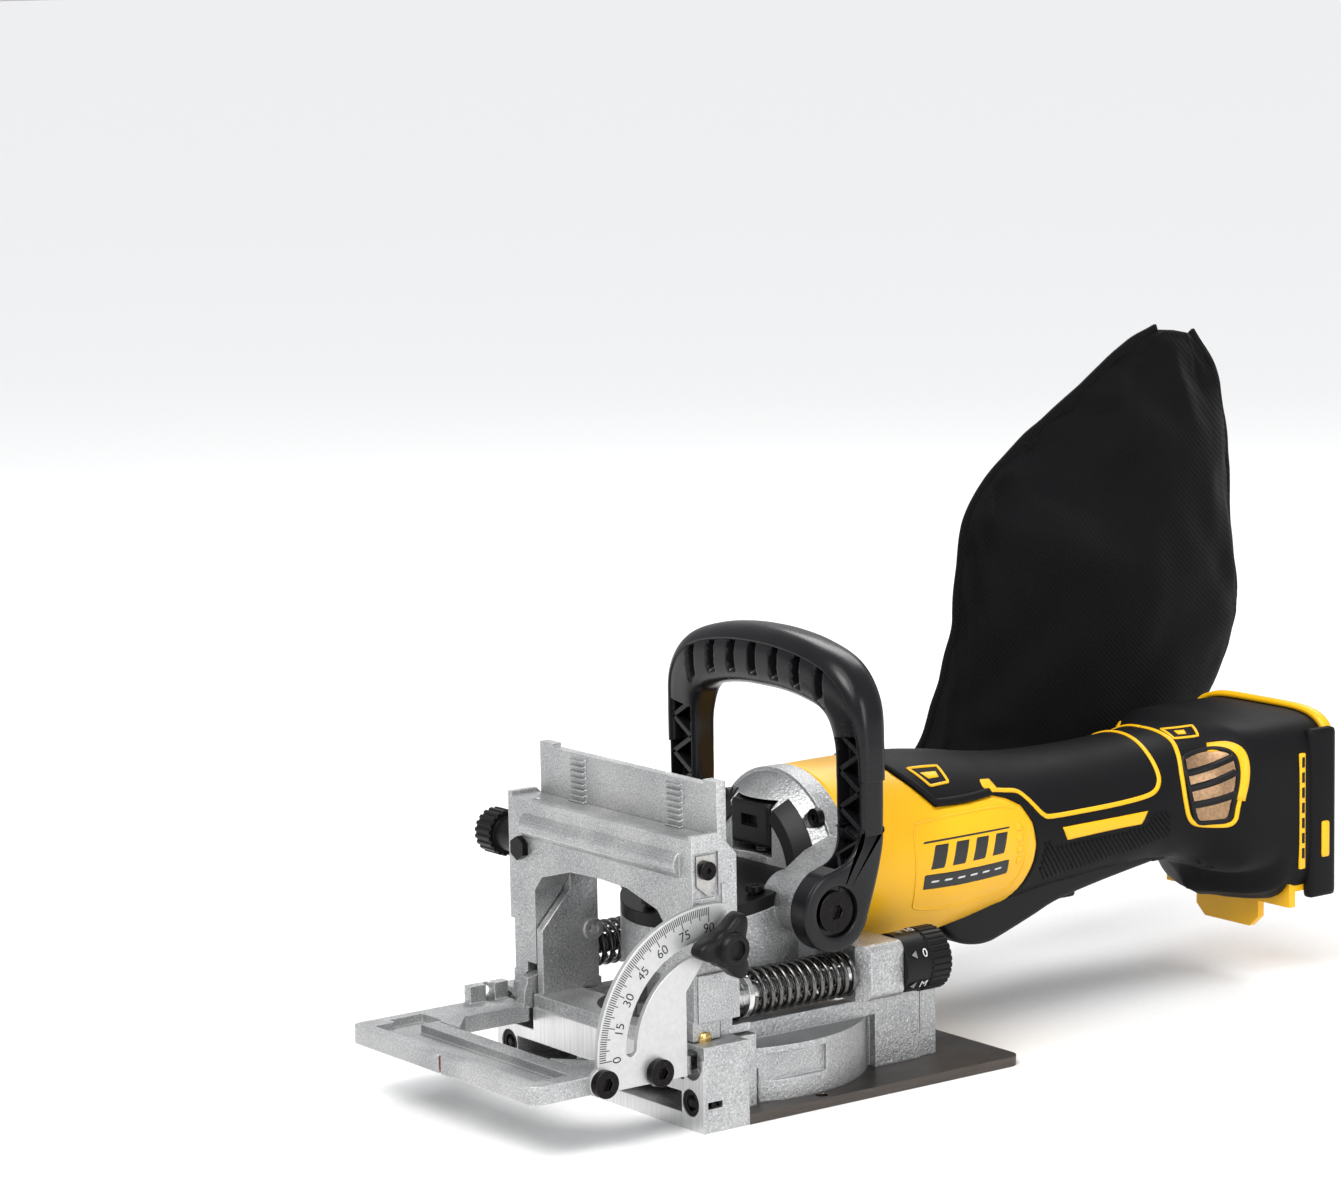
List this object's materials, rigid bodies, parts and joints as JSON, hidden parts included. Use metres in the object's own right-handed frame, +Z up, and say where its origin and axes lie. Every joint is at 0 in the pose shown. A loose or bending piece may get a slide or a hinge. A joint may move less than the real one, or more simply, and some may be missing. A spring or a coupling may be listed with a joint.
{
  "type": "biscuit joiner",
  "caption": "Hand-held plunge slot cutter for biscuit joints: sliding motor body on a sprung base, folding height-adjustable fence, D-handle, paddle switch and cloth dust bag.",
  "frame": {"origin": "centre of the flat sole under the base", "axes": "+Z up, +Y from the front working face towards the battery foot, +X to the side with the angle scale and depth turret"},
  "size_m": [0.17, 0.4566, 0.255],
  "materials": {
    "cast_aluminium": "satin",
    "scale_aluminium": "satin",
    "sole_steel": "satin",
    "black_steel": "satin",
    "spring_steel": "gloss",
    "bright_steel": "gloss",
    "blade_steel": "satin",
    "gear_steel": "satin",
    "black_plastic": "satin",
    "gloss_black": "gloss",
    "yellow_plastic": "satin",
    "soft_grip": "matte",
    "filter_mesh": "satin",
    "copper_wire": "gloss",
    "terminal_brass": "gloss",
    "bag_fabric": "matte"
  },
  "bodies": {
    "base": {"base_casting": "cast_aluminium", "sole_plate": "sole_steel", "base_screws": "black_steel", "rack_plate": "cast_aluminium", "guide_rods": "bright_steel", "return_springs": "spring_steel", "pin_spring_right": "spring_steel", "pin_spring_left": "spring_steel", "dust_spout": "black_plastic"},
    "pin_right": {"anti_slip_pin_right": "black_steel"},
    "pin_left": {"anti_slip_pin_left": "black_steel"},
    "carriage": {"fence_carriage": "cast_aluminium", "hinge_pins": "bright_steel", "shaft_brake_bolt": "black_steel", "angle_pointer": "bright_steel", "pointer_screw": "black_steel"},
    "height_drive": {"height_knob": "black_plastic", "pinion_shaft": "bright_steel"},
    "fence_arm": {"fence": "cast_aluminium", "angle_quadrant": "scale_aluminium", "quadrant_screws": "black_steel"},
    "angle_lock": {"angle_lock_knob": "black_plastic"},
    "drive": {"gear_case": "cast_aluminium", "gear_case_cover": "black_plastic", "gear_case_screws": "black_steel", "bearings": "bright_steel", "stator": "gear_steel", "windings": "copper_wire", "housing_right": "yellow_plastic", "housing_left": "yellow_plastic", "overmould_right": "soft_grip", "overmould_left": "soft_grip", "foot_trim": "yellow_plastic", "vent_mesh": "filter_mesh", "battery_rails": "yellow_plastic", "terminal_block": "black_plastic", "terminals": "terminal_brass", "controller": "black_plastic", "switch": "black_plastic", "paddle_pin": "bright_steel", "paddle_bracket": "black_plastic", "d_handle": "gloss_black", "handle_bolts": "black_steel", "lock_spring": "spring_steel"},
    "cutter": {"spindle": "bright_steel", "blade": "blade_steel", "blade_flanges": "bright_steel", "blade_screw": "black_steel", "crown_gear": "gear_steel"},
    "motor": {"motor_shaft": "gear_steel", "rotor": "gear_steel", "cooling_fan": "black_plastic"},
    "spindle_lock": {"spindle_lock_button": "black_plastic"},
    "switch_paddle": {"paddle": "gloss_black", "lock_off_pin": "bright_steel"},
    "lock_off": {"lock_off_lever": "gloss_black"},
    "turret": {"depth_turret": "black_plastic"},
    "bag": {"bag_collar": "black_plastic", "dust_bag": "bag_fabric"}
  },
  "joints": [
    {"name": "anti_slip_right", "type": "slide", "parent": "base", "child": "pin_right", "axis": [0, -1, 0], "range_m": [0, 0.0015], "deforming": ["pin_spring_right"]},
    {"name": "anti_slip_left", "type": "slide", "parent": "base", "child": "pin_left", "axis": [0, -1, 0], "range_m": [0, 0.0015], "deforming": ["pin_spring_left"]},
    {"name": "fence_height", "type": "slide", "parent": "base", "child": "carriage", "axis": [0, 0, 1], "range_m": [0, 0.032]},
    {"name": "height_knob_turn", "type": "hinge", "parent": "carriage", "child": "height_drive", "pos_m": [-0.07, -0.0645, 0.087], "axis": [1, 0, 0], "range_deg": [-445, 5]},
    {"name": "fence_angle", "type": "hinge", "parent": "carriage", "child": "fence_arm", "pos_m": [0, -0.0685, 0.0325], "axis": [-1, 0, 0], "range_deg": [0, 90]},
    {"name": "angle_lock_turn", "type": "hinge", "parent": "carriage", "child": "angle_lock", "pos_m": [0.068, -0.066, 0.06741], "axis": [1, 0, 0], "range_deg": [-90, 0]},
    {"name": "plunge", "type": "slide", "parent": "base", "child": "drive", "axis": [0, -1, 0], "range_m": [0, 0.022], "stiffness_N_per_m": 700, "springref_m": -0.02, "deforming": ["return_springs"]},
    {"name": "blade_spin", "type": "hinge", "parent": "drive", "child": "cutter", "pos_m": [0, -0.022, 0.03], "axis": [0, 0, 1], "continuous": true},
    {"name": "motor_spin", "type": "hinge", "parent": "drive", "child": "motor", "pos_m": [0, 0.045, 0.068], "axis": [0, 1, 0], "continuous": true},
    {"name": "spindle_lock_press", "type": "slide", "parent": "drive", "child": "spindle_lock", "axis": [0, 0, -1], "range_m": [0, 0.0025], "stiffness_N_per_m": 300, "springref_m": -0.003, "deforming": ["lock_spring"]},
    {"name": "paddle_squeeze", "type": "hinge", "parent": "drive", "child": "switch_paddle", "pos_m": [0, 0.206, 0.043], "axis": [-1, 0, 0], "range_deg": [0, 4], "stiffness_Nm_per_rad": 0.5, "springref_deg": -11.46},
    {"name": "lock_off_rock", "type": "hinge", "parent": "switch_paddle", "child": "lock_off", "pos_m": [0, 0.15, 0.0375], "axis": [1, 0, 0], "range_deg": [0, 10], "stiffness_Nm_per_rad": 0.02, "springref_deg": -17.19},
    {"name": "depth_setting", "type": "hinge", "parent": "drive", "child": "turret", "pos_m": [0.0495, 0.033, 0.044], "axis": [0, 1, 0], "range_deg": [-150, 150]},
    {"name": "bag_pull_off", "type": "slide", "parent": "base", "child": "bag", "axis": [0, 0.866, 0.5], "range_m": [0, 0.016]}
  ],
  "couplings": [
    {"joint": "height_knob_turn", "follows": "fence_height", "rad_per_m": -238.1},
    {"joint": "motor_spin", "follows": "blade_spin", "ratio": 3}
  ]
}
